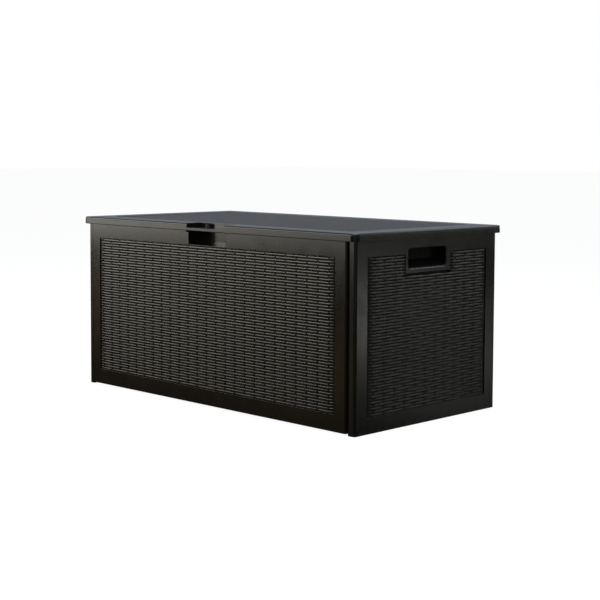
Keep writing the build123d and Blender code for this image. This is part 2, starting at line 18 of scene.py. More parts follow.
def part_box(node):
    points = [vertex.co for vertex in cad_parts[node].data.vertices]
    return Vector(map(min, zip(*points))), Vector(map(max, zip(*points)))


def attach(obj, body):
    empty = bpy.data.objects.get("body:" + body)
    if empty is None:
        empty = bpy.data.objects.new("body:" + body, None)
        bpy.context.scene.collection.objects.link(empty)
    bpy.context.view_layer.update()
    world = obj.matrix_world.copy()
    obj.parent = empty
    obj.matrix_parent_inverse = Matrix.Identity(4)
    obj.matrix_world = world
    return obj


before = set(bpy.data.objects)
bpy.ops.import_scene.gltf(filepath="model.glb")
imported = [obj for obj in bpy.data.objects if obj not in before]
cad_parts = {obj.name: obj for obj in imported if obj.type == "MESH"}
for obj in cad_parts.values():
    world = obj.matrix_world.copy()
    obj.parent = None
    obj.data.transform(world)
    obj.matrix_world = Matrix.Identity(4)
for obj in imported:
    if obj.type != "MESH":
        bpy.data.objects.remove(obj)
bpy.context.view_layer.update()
MM = 0.001
NOISE_MIDDLE = (0.3, 0.7)    # noise seldom leaves this range
FULL_SPECULAR = 0.5          # specular level at which the IOR alone sets the gloss
NUDGE = 1e-6                 # keeps a grid line that sits on a border on its own side
log = logging.getLogger("deck_box")


class Body(Enum):
    """CAD bodies that new pieces ride on."""

    BOX = "box"
    LID = "lid"


class Slot(Enum):
    """Material slot of the record for textured resin; the script does not use it."""

    TEXTURED_RESIN = "textured_resin"


class Side(Enum):
    """The two ends of the box, as the CAD names them."""

    LEFT = "left"
    RIGHT = "right"


# ---------------------------------------------------------------- colours and nodes
def linear(hex_colour: str) -> tuple[float, float, float, float]:
    """Turn an sRGB hex colour into linear light.

    Args:
        hex_colour: Colour as "#rrggbb".

    Returns:
        Linear red, green, blue and an alpha of 1.
    """
    channels = np.array([int(hex_colour[start:start + 2], 16) for start in (1, 3, 5)]) / 255
    toe = channels / 12.92
    curve = ((channels + 0.055) / 1.055) ** 2.4
    return (*np.where(channels <= 0.04045, toe, curve).tolist(), 1.0)


def add_node(
    tree: bpy.types.NodeTree,
    kind: str,
    settings: dict[str | int, object],
    links: dict[str | int, bpy.types.NodeSocket] | None = None,
) -> bpy.types.Node:
    """Add one node, set its properties and inputs, and link its inputs.

    Args:
        tree: Node tree to add to.
        kind: Node type.
        settings: Node properties by attribute name, inputs by socket name or number.
        links: Output sockets of other nodes, by the input that they feed.

    Returns:
        The new node.
    """
    node = tree.nodes.new(kind)
    for key, value in settings.items():
        if isinstance(key, str) and hasattr(node, key):
            setattr(node, key, value)
        else:
            node.inputs[key].default_value = value
    for key, source in (links or {}).items():
        tree.links.new(source, node.inputs[key])
    return node


def per_metre(size_mm: float) -> float:
    """Noise scale whose pattern repeats about every size_mm on Object coordinates."""
    return 1.0 / (size_mm * MM)


# ---------------------------------------------------------------- finishes
@dataclass(frozen=True)
class Finish:
    """A surface with a mottled colour, uneven gloss and a fine grain.

    The mottle is a slow drift between two close tones, as pigment and handling leave. The
    grain is a shallow bump. Where edge_mm is set, corners are eased by that radius and
    their crests are painted a little paler: a painted highlight along the edges.
    """

    name: str
    deep_tone: str
    pale_tone: str
    roughness: tuple[float, float]
    ior: float = 1.5
    metallic: float = 0.0
    mottle_mm: float = 120.0
    gloss_share: float = 0.37    # size of the gloss patches beside that of the mottle
    grain_mm: float = 2.0
    grain_depth_mm: float = 0.03
    edge_mm: float = 0.0
    # painted highlight on the eased edges: its tone, where it starts and how strong it gets
    edge_highlight_tone: str = "#4a4a46"
    edge_highlight_lean: tuple[float, float] = (0.995, 0.80)    # cosine where the painted edge highlight starts and is full
    edge_highlight_share: float = 0.55

    def material(self) -> bpy.types.Material:
        """Build the material from its nodes.

        Returns:
            The material, under the finish's name.
        """
        made = bpy.data.materials.new(self.name)
        made.use_nodes = True
        tree = made.node_tree
        tree.nodes.clear()
        place = add_node(tree, "ShaderNodeTexCoord", {}).outputs["Object"]
        mottle = add_node(
            tree,
            "ShaderNodeTexNoise",
            {"Scale": per_metre(self.mottle_mm), "Detail": 5.0, "Roughness": 0.6},
            {"Vector": place},
        ).outputs["Fac"]
        gloss = add_node(
            tree,
            "ShaderNodeTexNoise",
            {
                "Scale": per_metre(self.mottle_mm * self.gloss_share),
                "Detail": 6.0,
                "Distortion": 0.4,
            },
            {"Vector": place},
        ).outputs["Fac"]
        contrast = add_node(
            tree,
            "ShaderNodeMapRange",
            {"From Min": NOISE_MIDDLE[0], "From Max": NOISE_MIDDLE[1]},
            {"Value": mottle},
        ).outputs["Result"]
        colour = add_node(
            tree,
            "ShaderNodeMix",
            {"data_type": "RGBA", 6: linear(self.deep_tone), 7: linear(self.pale_tone)},
            {0: contrast},
        ).outputs[2]
        roughness = add_node(
            tree,
            "ShaderNodeMapRange",
            {
                "From Min": NOISE_MIDDLE[0],
                "From Max": NOISE_MIDDLE[1],
                "To Min": self.roughness[0],
                "To Max": self.roughness[1],
            },
            {"Value": gloss},
        ).outputs["Result"]
        bump = {"Height": self.grain(tree, place)}
        if self.edge_mm:
            eased = add_node(
                tree, "ShaderNodeBevel", {"samples": 6, "Radius": self.edge_mm * MM}
            ).outputs["Normal"]
            bump["Normal"] = eased
            # paler crests on the eased edges: a painted highlight
            colour = self.paint_edge_highlight(tree, colour, eased)
        colour = self.shaded(tree, colour)
        normal = add_node(
            tree,
            "ShaderNodeBump",
            {"Strength": 1.0, "Distance": self.grain_depth_mm * MM},
            bump,
        ).outputs["Normal"]
        shader = add_node(
            tree,
            "ShaderNodeBsdfPrincipled",
            {"Metallic": self.metallic, "IOR": self.ior},
            {"Base Color": colour, "Roughness": roughness, "Normal": normal},
        )
        self.dull(tree, shader)
        add_node(tree, "ShaderNodeOutputMaterial", {}, {"Surface": shader.outputs["BSDF"]})
        return made

    def grain(
        self, tree: bpy.types.NodeTree, place: bpy.types.NodeSocket
    ) -> bpy.types.NodeSocket:
        """Height of the surface grain: noise at the grain's size.

        Args:
            tree: Node tree of the material.
            place: Object coordinates.

        Returns:
            Height, 0 to 1.
        """
        return add_node(
            tree,
            "ShaderNodeTexNoise",
            {"Scale": per_metre(self.grain_mm), "Detail": 2.0},
            {"Vector": place},
        ).outputs["Fac"]

    def paint_edge_highlight(
        self,
        tree: bpy.types.NodeTree,
        colour: bpy.types.NodeSocket,
        eased: bpy.types.NodeSocket,
    ) -> bpy.types.NodeSocket:
        """Paint an edge highlight: blend the paler tone in where the eased normal leans away
        from the true one.

        Args:
            tree: Node tree of the material.
            colour: Colour so far.
            eased: Normal of the eased corner.

        Returns:
            Colour with a painted highlight on the crests.
        """
        true_normal = add_node(tree, "ShaderNodeNewGeometry", {}).outputs["Normal"]
        lean = add_node(
            tree, "ShaderNodeVectorMath", {"operation": "DOT_PRODUCT"},
            {0: eased, 1: true_normal},
        ).outputs["Value"]
        edge_highlight_mask = add_node(
            tree,
            "ShaderNodeMapRange",
            {
                "From Min": self.edge_highlight_lean[0],
                "From Max": self.edge_highlight_lean[1],
                "To Max": self.edge_highlight_share,
            },
            {"Value": lean},
        ).outputs["Result"]
        return add_node(
            tree,
            "ShaderNodeMix",
            {"data_type": "RGBA", 7: linear(self.edge_highlight_tone)},
            {0: edge_highlight_mask, 6: colour},
        ).outputs[2]

    def shaded(
        self, tree: bpy.types.NodeTree, colour: bpy.types.NodeSocket
    ) -> bpy.types.NodeSocket:
        """Colour with what the finish adds last; a plain finish adds nothing."""
        return colour

    def dull(self, tree: bpy.types.NodeTree, shader: bpy.types.Node) -> None:
        """Weaken the gloss where the finish has dull places; a plain finish has none."""


@dataclass(frozen=True)
class WovenRelief(Finish):
    """Polypropylene moulded as flat cane: fine fibre lines along each strip.

    The relief attribute is 0 at the bottom of a gap and 1 on a crest. Gaps are painted
    darker and their gloss is turned down: painted shade in the hollows between strips. The
    shade and gloss reliefs are those between which the painted shade and the gloss come in.
    """

    fibre_along: tuple[float, float, float] = (1.0, 0.0, 0.0)
    fibre_mm: float = 1.1
    fibre_run_mm: float = 45.0
    # painted shade: the tone that the gaps are darkened towards, and the reliefs over which it
    # comes in
    gap_shade_tone: str = "#060606"
    gap_shade_relief: tuple[float, float] = (0.02, 0.3)
    gloss_relief: tuple[float, float] = (0.05, 0.6)
    gap_specular: float = 0.06

    def by_relief(
        self,
        tree: bpy.types.NodeTree,
        limits: tuple[float, float],
        values: tuple[float, float] = (0.0, 1.0),
    ) -> bpy.types.NodeSocket:
        """Value that follows the relief attribute.

        Args:
            tree: Node tree of the material.
            limits: Reliefs where the value starts and stops changing.
            values: The value at each of them.

        Returns:
            The value.
        """
        relief = add_node(tree, "ShaderNodeAttribute", {"attribute_name": "relief"})
        return add_node(
            tree,
            "ShaderNodeMapRange",
            {
                "From Min": limits[0],
                "From Max": limits[1],
                "To Min": values[0],
                "To Max": values[1],
            },
            {"Value": relief.outputs["Fac"]},
        ).outputs["Result"]

    def grain(
        self, tree: bpy.types.NodeTree, place: bpy.types.NodeSocket
    ) -> bpy.types.NodeSocket:
        """Height of the fibre lines: noise drawn out along the strips.

        Args:
            tree: Node tree of the material.
            place: Object coordinates.

        Returns:
            Height, 0 to 1.
        """
        along = np.array(self.fibre_along)
        scale = along * per_metre(self.fibre_run_mm) + (1 - along) * per_metre(self.fibre_mm)
        stretched = add_node(
            tree, "ShaderNodeMapping", {"Scale": tuple(scale)}, {"Vector": place}
        ).outputs["Vector"]
        return add_node(
            tree, "ShaderNodeTexNoise", {"Scale": 1.0, "Detail": 2.0}, {"Vector": stretched}
        ).outputs["Fac"]

    def shaded(
        self, tree: bpy.types.NodeTree, colour: bpy.types.NodeSocket
    ) -> bpy.types.NodeSocket:
        """Paint shade into the gaps: darken them by the relief attribute.

        Args:
            tree: Node tree of the material.
            colour: Colour of the crests.

        Returns:
            Colour with painted shade in the gaps.
        """
        return add_node(
            tree,
            "ShaderNodeMix",
            {"data_type": "RGBA", 6: linear(self.gap_shade_tone)},
            {0: self.by_relief(tree, self.gap_shade_relief), 7: colour},
        ).outputs[2]

    def dull(self, tree: bpy.types.NodeTree, shader: bpy.types.Node) -> None:
        """Take the gloss off the gaps by the relief attribute, so that they go as dark as the
        painted shade.

        Args:
            tree: Node tree of the material.
            shader: Its shader.
        """
        level = self.by_relief(tree, self.gloss_relief, (self.gap_specular, FULL_SPECULAR))
        tree.links.new(level, shader.inputs["Specular IOR Level"])


@dataclass(frozen=True)
class ScoopedResin(Finish):
    """Resin whose gloss stops inside a scoop that is sunk into both ends of the box, so the
    scoop goes dark as painted shade.

    mouth_mm and wall_mm are distances from the middle of the box along x, where the gloss
    is full and where it has gone; reach_mm is half the width of the area along y.
    """

    mouth_mm: float = 598.0
    wall_mm: float = 594.0
    reach_mm: float = 150.0
    # specular level inside the scoop: painted shade in the hand hold
    scoop_shade_specular: float = 0.05

    def dull(self, tree: bpy.types.NodeTree, shader: bpy.types.Node) -> None:
        """Take the gloss off, as painted shade, by the distance behind the mouth, within reach
        along y.

        Args:
            tree: Node tree of the material.
            shader: Its shader.
        """
        place = add_node(tree, "ShaderNodeTexCoord", {}).outputs["Object"]
        parts = add_node(tree, "ShaderNodeSeparateXYZ", {}, {"Vector": place}).outputs
        out_x = add_node(tree, "ShaderNodeMath", {"operation": "ABSOLUTE"}, {0: parts["X"]})
        out_y = add_node(tree, "ShaderNodeMath", {"operation": "ABSOLUTE"}, {0: parts["Y"]})
        beyond = add_node(
            tree,
            "ShaderNodeMath",
            {"operation": "GREATER_THAN", 1: self.reach_mm * MM},
            {0: out_y.outputs["Value"]},
        ).outputs["Value"]
        shallow = add_node(
            tree,
            "ShaderNodeMapRange",
            {"From Min": self.wall_mm * MM, "From Max": self.mouth_mm * MM},
            {"Value": out_x.outputs["Value"]},
        ).outputs["Result"]
        glossy = add_node(
            tree, "ShaderNodeMath", {"operation": "MAXIMUM"}, {0: beyond, 1: shallow}
        ).outputs["Value"]
        level = add_node(
            tree,
            "ShaderNodeMapRange",
            {"To Min": self.scoop_shade_specular, "To Max": FULL_SPECULAR},
            {"Value": glossy},
        ).outputs["Result"]
        tree.links.new(level, shader.inputs["Specular IOR Level"])


# Injection-moulded polypropylene with a satin spark-eroded grain: near black, soft wide
# highlights that fall off down a wall. The real grain is about 0.3 mm; it is drawn at
# 1.8 mm so that it breaks up highlights at viewing distance.
SATIN_POLYPROPYLENE = Finish(
    name="satin_moulded_polypropylene",
    deep_tone="#11110f",
    pale_tone="#171714",
    roughness=(0.15, 0.19),
    ior=1.49,
    grain_mm=1.8,
    grain_depth_mm=0.002,
    edge_mm=0.9,
    edge_highlight_tone="#2c2c29",
)
# The same resin on the end panels, a touch paler: satin outside, with the gloss taken off
# inside the hand hold so that it goes dark, a painted shade.
SCOOPED_POLYPROPYLENE = ScoopedResin(
    name="satin_moulded_polypropylene_with_painted_shade_in_scoop",
    deep_tone="#131311",
    pale_tone="#1a1a17",
    roughness=(0.15, 0.19),
    ior=1.49,
    grain_mm=1.8,
    grain_depth_mm=0.002,
    edge_mm=0.9,
    edge_highlight_tone="#2c2c29",
)
# The same resin from a plain, less polished mould face, for the insides: a dull, even black.
# The real texture is under 0.5 mm; it is drawn at 2.6 mm so that it shows at all.
PLAIN_POLYPROPYLENE = Finish(
    name="plain_moulded_polypropylene",
    deep_tone="#181816",
    pale_tone="#22221f",
    roughness=(0.45, 0.58),
    ior=1.49,
    grain_mm=2.6,
    grain_depth_mm=0.03,
    edge_mm=0.7,
)
# Glass-filled nylon, moulded: dull black with an uneven gloss. The glass fibres are about
# 0.01 mm thick; the unevenness that they leave is drawn at 1 mm so that it shows.
GLASS_FILLED_NYLON = Finish(
    name="glass_filled_nylon_moulded",
    deep_tone="#141414",
    pale_tone="#202020",
    roughness=(0.42, 0.55),
    ior=1.53,
    mottle_mm=18.0,
    grain_mm=1.0,
    grain_depth_mm=0.02,
    edge_mm=0.6,
)
# Zinc-plated steel, passivated: pale grey metal with cloudy, faintly warm patches. The real
# crystals are under 0.1 mm; they are drawn at 0.8 mm so that they break up the glints.
ZINC_PLATED_STEEL = Finish(
    name="zinc_plated_steel",
    deep_tone="#a9a79c",
    pale_tone="#c9c9c4",
    roughness=(0.25, 0.42),
    metallic=1.0,
    mottle_mm=6.0,
    grain_mm=0.8,
    grain_depth_mm=0.01,
    edge_mm=0.2,
    edge_highlight_tone="#dcdcd6",
)
# Steel tube under gloss black paint: tight highlights with slight orange peel, about 2 mm
# from dimple to dimple as on real paint.
GLOSS_PAINTED_TUBE = Finish(
    name="gloss_painted_steel_tube",
    deep_tone="#060607",
    pale_tone="#0b0b0d",
    roughness=(0.12, 0.20),
    mottle_mm=30.0,
    grain_mm=2.2,
    grain_depth_mm=0.01,
)
# Hard-chromed ground rod: a bright mirror, faintly uneven. Real grinding marks are about
# 0.01 mm apart; the unevenness is drawn at 0.7 mm, and not as lines, because it hardly shows.
HARD_CHROME = Finish(
    name="hard_chromed_rod",
    deep_tone="#c8c9cc",
    pale_tone="#dcdde0",
    roughness=(0.05, 0.12),
    metallic=1.0,
    mottle_mm=12.0,
    grain_mm=0.7,
    grain_depth_mm=0.002,
)
# Powder-coated pressed steel: matt black with a pebbled skin, its pebbles about 1 mm wide
# as on real powder coat.
POWDER_COATED_STEEL = Finish(
    name="powder_coated_steel",
    deep_tone="#101010",
    pale_tone="#191919",
    roughness=(0.5, 0.62),
    mottle_mm=20.0,
    grain_mm=1.0,
    grain_depth_mm=0.04,
    edge_mm=0.4,
)
# Moulded acetal: smooth black with a waxy sheen. Its real texture is under 0.2 mm; it is
# drawn at 0.8 mm so that the sheen isn't perfectly even.
MOULDED_ACETAL = Finish(
    name="moulded_acetal",
    deep_tone="#0e0e0f",
    pale_tone="#161617",
    roughness=(0.28, 0.38),
    ior=1.48,
    mottle_mm=10.0,
    grain_mm=0.8,
    grain_depth_mm=0.008,
    edge_mm=0.4,
)


def woven(name: str, fibre_along: tuple[float, float, float]) -> WovenRelief:
    """Cane-look finish of one field, with its fibres along the strips.

    Moulded from split cane, it shows lines that run with each strip. On real cane they are
    about 0.5 mm apart; they are drawn 1.1 mm apart so that they show.

    Args:
        name: Material name.
        fibre_along: 1 on the axis that the strips run along, 0 on the others.

    Returns:
        The finish.
    """
    return WovenRelief(
        name=name,
        deep_tone="#141411",
        pale_tone="#211e18",
        roughness=(0.17, 0.22),
        ior=1.49,
        mottle_mm=70.0,
        grain_depth_mm=0.012,
        fibre_along=fibre_along,
    )


def dress(finish: bpy.types.Material, *nodes: str) -> None:
    """Give CAD nodes a finish in place of their plain one.

    Args:
        finish: Material to assign.
        nodes: Names of CAD nodes.
    """
    for name in nodes:
        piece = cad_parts[name]
        if not piece.material_slots:
            piece.data.materials.append(finish)
        for material_slot in piece.material_slots:
            material_slot.material = finish
        log.info("%s: %s", name, finish.name)


# ---------------------------------------------------------------- woven relief
@dataclass(frozen=True)
class WallPlane:
    """Plane that a woven field lies in.

    corner is the field's lower left corner on the surrounding face, along the direction of
    the strips, and across the direction from row to row. The field faces along x across.
    """

    corner: Vector
    along: Vector
    across: Vector

    def point_array(self, u: np.ndarray, v: np.ndarray, rise: np.ndarray) -> np.ndarray:
        """Points at corner + u along + v across + rise outwards, for whole arrays.

        Args:
            u: Distances along the strips.
            v: Distances across them.
            rise: Heights over the surrounding face, negative in the recess.

        Returns:
            One row of x, y and z for each point.
        """
        outward = self.along.cross(self.across)
        axes = np.array([self.along, self.across, outward])
        return np.array(self.corner) + np.stack([u, v, rise], -1).reshape(-1, 3) @ axes


@dataclass
class WovenField:
    """Moulded cane weave that fills a recess: strips two columns long in running bond.

    Each strip leaves one upright, passes over the next and dives at the one after it;
    neighbouring rows are a column apart. Column lines are a pitch apart, the first of them
    at lead. strip_start, strip_stop and the upright's places are distances from a column
    line: a strip starts just after one and stops short of the next but one, and the upright
    stands in the break between. A cutout is (start, end, bottom) of a plain area at the top.
    """

    name: str
    plane: WallPlane
    length: float
    height: float
    rows: int
    pitch: float
    lead: float
    recess: float
    body: Body
    cutout: tuple[float, float, float] | None = None
    floor_gap: float = 0.05 * MM     # between the recess and the back of the sheet
    base_rise: float = 0.45 * MM     # thickness of the sheet under the gaps
    crest_drop: float = 0.25 * MM    # crests stay this far below the surrounding face
    crown_share: float = 0.9         # width of a strip beside that of its row
    crown_power: float = 6.0         # the higher, the flatter a strip and the rounder its edges
    bow: float = 0.07                # how much a strip sinks from its middle to its ends
    end_round: float = 1.0 * MM      # length over which a strip's end turns down
    strip_start: float = 0.2 * MM
    strip_stop: float = 3.6 * MM
    upright_centre: float = -1.85 * MM
    upright_half: float = 1.35 * MM  # half the width of an upright
    upright_slope: float = 0.5 * MM  # width of each of its flanks
    upright_share: float = 0.9       # its height beside that of a crest
    row_samples: tuple[float, ...] = (0.0, 0.06, 0.13, 0.26, 0.5, 0.74, 0.87, 0.94)
    top_gap: float = 2.5 * MM        # height without strips above the top row
    line_gap: float = 0.3 * MM       # grid lines nearer to a border than this are left out
    sharp_degrees: float = 50.0      # steeper folds than this stay sharp

    @property
    def row_height(self) -> float:
        """Height of one row of the weave."""
        return (self.height - self.top_gap) / self.rows

    @property
    def column_samples(self) -> np.ndarray:
        """Grid lines of one column, measured from its line.

        Returns:
            The places where the strip before it ends, the upright's flanks, the start of
            the strip after it, and the middle of that strip's first half.
        """
        low_edge = self.upright_centre - self.upright_half
        high_edge = self.upright_centre + self.upright_half
        return np.array([
            -self.strip_stop - self.end_round,
            -self.strip_stop,
            low_edge,
            low_edge + self.upright_slope,
            high_edge - self.upright_slope,
            high_edge,
            self.strip_start,
            self.strip_start + self.end_round,
            self.pitch / 2,
        ])

    def stations(self) -> tuple[np.ndarray, np.ndarray]:
        """Grid lines along and across the field.

        The samples of one column and one row are repeated by adding the pitch, cut to the
        field, and joined by the field's borders and the cutout's sides.

        Returns:
            Distances along and across, in metres, both rising.
        """
        lines = np.arange(-1, int(self.length / self.pitch) + 2) * self.pitch + self.lead
        along = (lines[:, None] + self.column_samples[None, :]).ravel()
        across = np.arange(self.rows)[:, None] + np.array(self.row_samples)
        across = np.append(across * self.row_height, self.rows * self.row_height)
        extra_along = [0.0, self.length]
        extra_across = [self.height]
        if self.cutout:
            extra_along += self.cutout[:2]
            extra_across += self.cutout[2:]
        near = np.abs(along[:, None] - np.array(extra_along)[None, :]).min(1) < self.line_gap
        along = along[(along > 0) & (along < self.length) & ~near]
        near = np.abs(across[:, None] - np.array(extra_across)[None, :]).min(1) < self.line_gap
        across = np.concatenate([across[~near], extra_across])
        return np.sort(np.concatenate([along, extra_along])), np.sort(across)

    def relief(self, along: np.ndarray, across: np.ndarray) -> np.ndarray:
        """Height of the weave at every grid point, from 0 in a gap to 1 on a crest.

        A strip is a flat crown across its row, the square root of 1 less the distance from
        its middle line raised to the crown power. That is multiplied by a quarter ellipse at
        each end and by a slow parabolic bow, highest over the upright that it crosses. An
        upright is a flat bar with straight flanks. The weave is the higher of the two, and
        it is flat in the cutout and along the lower and upper border.

        Args:
            along: Grid lines along the strips.
            across: Grid lines across the strips.

        Returns:
            Relief, one row of values for each grid line across.
        """
        u, v = np.meshgrid(along, across)
        row_height = self.row_height
        row = np.clip(np.floor(v / row_height + NUDGE), 0, self.rows - 1)
        offset = (v / row_height - row) * 2 - 1
        fall = np.abs(offset / self.crown_share) ** self.crown_power
        crown = np.sqrt(np.clip(1 - fall, 0, 1))

        parity = np.mod(self.rows - 1 - row, 2)
        line = (u - self.lead) / self.pitch
        strip = np.floor((line - parity) / 2 + NUDGE)
        start = (2 * strip + parity) * self.pitch + self.lead
        low, high = np.zeros_like(u), np.full_like(u, self.length)
        plain = np.zeros(u.shape, bool)
        if self.cutout:
            left, right, bottom = self.cutout
            upper = (row + 1) * row_height > bottom + NUDGE
            high = np.where(upper & (u <= (left + right) / 2), left, high)
            low = np.where(upper & (u > (left + right) / 2), right, low)
            plain = upper & (u > left - NUDGE) & (u < right + NUDGE)
        start_end = np.maximum(start, low) + self.strip_start
        stop_end = np.minimum(start + 2 * self.pitch - self.strip_stop, high - self.strip_start)
        inside = np.clip(np.minimum(u - start_end, stop_end - u) / self.end_round, 0, 1)
        ends = np.sqrt(1 - (1 - inside) ** 2)
        middle = (start + self.pitch - self.strip_stop / 2 - u) / self.pitch
        bow = (1 - self.bow) + self.bow * np.clip(1 - middle**2, 0, 1)

        from_upright = (line - np.round(line)) * self.pitch - self.upright_centre
        upright = np.clip((self.upright_half - np.abs(from_upright)) / self.upright_slope, 0, 1)
        at_border = (v < NUDGE) | (v > self.height - NUDGE)
        woven_height = np.maximum(crown * ends * bow, upright * self.upright_share)
        return np.where(plain | at_border, 0.0, woven_height)

    def border(self, along: np.ndarray, across: np.ndarray) -> np.ndarray:
        """Grid numbers of the field's border, once round, counterclockwise from outside.

        Args:
            along: Grid lines along the strips.
            across: Grid lines across the strips.

        Returns:
            Vertex numbers in order, none of them twice.
        """
        last_u, last_v = len(along) - 1, len(across) - 1
        corners = [(0, 0), (last_u, 0), (last_u, last_v)]
        if self.cutout:
            left, right = np.searchsorted(along, np.array(self.cutout[:2]) - NUDGE)
            bottom = np.searchsorted(across, self.cutout[2] - NUDGE)
            corners += [(right, last_v), (right, bottom), (left, bottom), (left, last_v)]
        corners += [(0, last_v)]
        stretches = []
        for (u0, v0), (u1, v1) in zip(corners, corners[1:] + corners[:1]):
            steps = max(abs(u1 - u0), abs(v1 - v0))
            us = np.linspace(u0, u1, steps + 1).round().astype(int)[:-1]
            vs = np.linspace(v0, v1, steps + 1).round().astype(int)[:-1]
            stretches.append(vs * len(along) + us)
        return np.concatenate(stretches)

    def build(self) -> bpy.types.Object:
        """Make the closed sheet: woven face, border walls and a flat back.

        The face is a grid of quads over all stations but those inside the cutout. The
        border walls join its edge to a ring at the back, which one flat face closes.

        Returns:
            The piece, riding on its body.
        """
        along, across = self.stations()
        relief = self.relief(along, across)
        sheet = self.floor_gap + self.base_rise
        rise = -self.recess + sheet + relief * (self.recess - sheet - self.crest_drop)
        u, v = np.meshgrid(along, across)
        border = self.border(along, across)
        top = self.plane.point_array(u, v, rise)
        flat_rise = np.full(len(border), self.floor_gap - self.recess)
        bottom = self.plane.point_array(u.ravel()[border], v.ravel()[border], flat_rise)

        first = (np.arange(len(across) - 1)[:, None] * len(along)
                 + np.arange(len(along) - 1)[None, :])
        kept = np.ones(first.shape, bool)
        if self.cutout:
            left, right, low = self.cutout
            after_left = along[None, :-1] > left - NUDGE
            before_right = along[None, 1:] < right + NUDGE
            kept = ~(after_left & before_right & (across[:-1, None] > low - NUDGE))
        first = first[kept]
        quads = np.stack([first, first + 1, first + len(along) + 1, first + len(along)], -1)
        under_ring = len(top) + np.arange(len(border))
        walls = np.stack(
            [under_ring, np.roll(under_ring, -1), np.roll(border, -1), border], -1
        )
        used, quads_and_walls = np.unique(np.concatenate([quads, walls]), return_inverse=True)
        quads_and_walls = quads_and_walls.reshape(-1, 4)
        back = np.searchsorted(used, under_ring[::-1])
        points = np.concatenate([top, bottom])[used]
        values = np.concatenate([relief.ravel(), np.zeros(len(border))])[used]

        mesh = bpy.data.meshes.new(self.name)
        mesh.from_pydata(points.tolist(), [], quads_and_walls.tolist() + [back.tolist()])
        mesh.attributes.new("relief", "FLOAT", "POINT").data.foreach_set(
            "value", values.astype(np.float32)
        )
        mesh.polygons.foreach_set("use_smooth", np.ones(len(mesh.polygons), bool))
        mesh.set_sharp_from_angle(angle=math.radians(self.sharp_degrees))
        mesh.update()
        piece = bpy.data.objects.new(self.name, mesh)
        bpy.context.scene.collection.objects.link(piece)
        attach(piece, self.body.value)
        log.info("%s: %d quads on %s", self.name, len(quads), self.body.value)
        return piece


# ---------------------------------------------------------------- sub-assemblies
@dataclass
class BoxBody:
    """Walls and floor: four panels with a woven field in each, floor, pads and staple.

    long_field and end_field are the recesses of the walls: half their length, and the
    height of their lower and upper edge. grip_border is the plain area round the right
    hand hold: its two ends along y, and the height of its lower edge.
    """

    long_field: tuple[float, float, float] = (0.5315, 0.054, 0.488)
    end_field: tuple[float, float, float] = (0.264, 0.046, 0.488)
    grip_border: tuple[float, float, float] = (-0.105, 0.094, 0.434)
    recess: float = 3.0 * MM
    rows: int = 52
    long_columns: int = 25
    end_pitch: float = 44.3 * MM
    end_lead: float = 29.0 * MM
    gap: float = 0.1 * MM    # between a sheet and the edges of its recess
    pieces: list[bpy.types.Object] = field(default_factory=list)

    def wall_plane(self, node: str, along: Vector, half_length: float, low: float) -> WallPlane:
        """Plane of a wall's field, on the outer face of its panel.

        Args:
            node: CAD node of the panel.
            along: Direction of the strips, left to right seen from outside.
            half_length: Half the length of the field.
            low: Height of the field's lower edge.

        Returns:
            The plane, with its corner at the field's lower left.
        """
        across = Vector((0, 0, 1))
        outward = along.cross(across)
        face = max(outward.dot(corner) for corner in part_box(node))
        return WallPlane(outward * face - along * half_length + across * low, along, across)

    def long_wall(self, name: str, node: str, along: Vector) -> WovenField:
        """Field of the front or back panel.

        Args:
            name: Name of the new piece.
            node: CAD node of the panel.
            along: Direction of the strips, left to right seen from outside.

        Returns:
            The field, with whole columns over its length.
        """
        half_length, low, high = self.long_field
        half_length -= self.gap
        pitch = 2 * half_length / self.long_columns
        return WovenField(
            name=name,
            plane=self.wall_plane(node, along, half_length, low + self.gap),
            length=2 * half_length,
            height=high - low - 2 * self.gap,
            rows=self.rows,
            pitch=pitch,
            lead=pitch / 2,
            recess=self.recess,
            body=Body.BOX,
        )

    def end_wall(self, name: str, node: str, along: Vector) -> WovenField:
        """Field of an end panel, with a plain area round the hand hold.

        Args:
            name: Name of the new piece.
            node: CAD node of the panel.
            along: Direction of the strips, left to right seen from outside.

        Returns:
            The field, with its cutout.
        """
        half_length, low, high = self.end_field
        half_length -= self.gap
        low += self.gap
        *border_ends, border_low = self.grip_border
        first, last = sorted(along.y * end for end in border_ends)
        return WovenField(
            name=name,
            plane=self.wall_plane(node, along, half_length, low),
            length=2 * half_length,
            height=high - low - self.gap,
            rows=self.rows,
            pitch=self.end_pitch,
            lead=self.end_lead,
            recess=self.recess,
            body=Body.BOX,
            cutout=(
                half_length + first - self.gap,
                half_length + last + self.gap,
                border_low - low - self.gap,
            ),
        )

    def build(self) -> None:
        """Make the four woven fields."""
        walls = (
            self.long_wall("front_weave", "front_panel", Vector((1, 0, 0))),
            self.long_wall("back_weave", "back_panel", Vector((-1, 0, 0))),
            self.end_wall("right_weave", "right_side_panel", Vector((0, 1, 0))),
            self.end_wall("left_weave", "left_side_panel", Vector((0, -1, 0))),
        )
        self.pieces = [wall.build() for wall in walls]

    def dress(self) -> None:
        """Finish the panels and the fields."""
        long_cane = woven("woven_polypropylene_long_walls", (1.0, 0.0, 0.0)).material()
        end_cane = woven("woven_polypropylene_end_walls", (0.0, 1.0, 0.0)).material()
        for piece, cane in zip(self.pieces, (long_cane, long_cane, end_cane, end_cane)):
            piece.data.materials.append(cane)
        dress(SATIN_POLYPROPYLENE.material(), "front_panel", "back_panel")
        dress(SCOOPED_POLYPROPYLENE.material(), "left_side_panel", "right_side_panel")
        dress(PLAIN_POLYPROPYLENE.material(), "floor_panel", "floor_pads", "lock_staple")


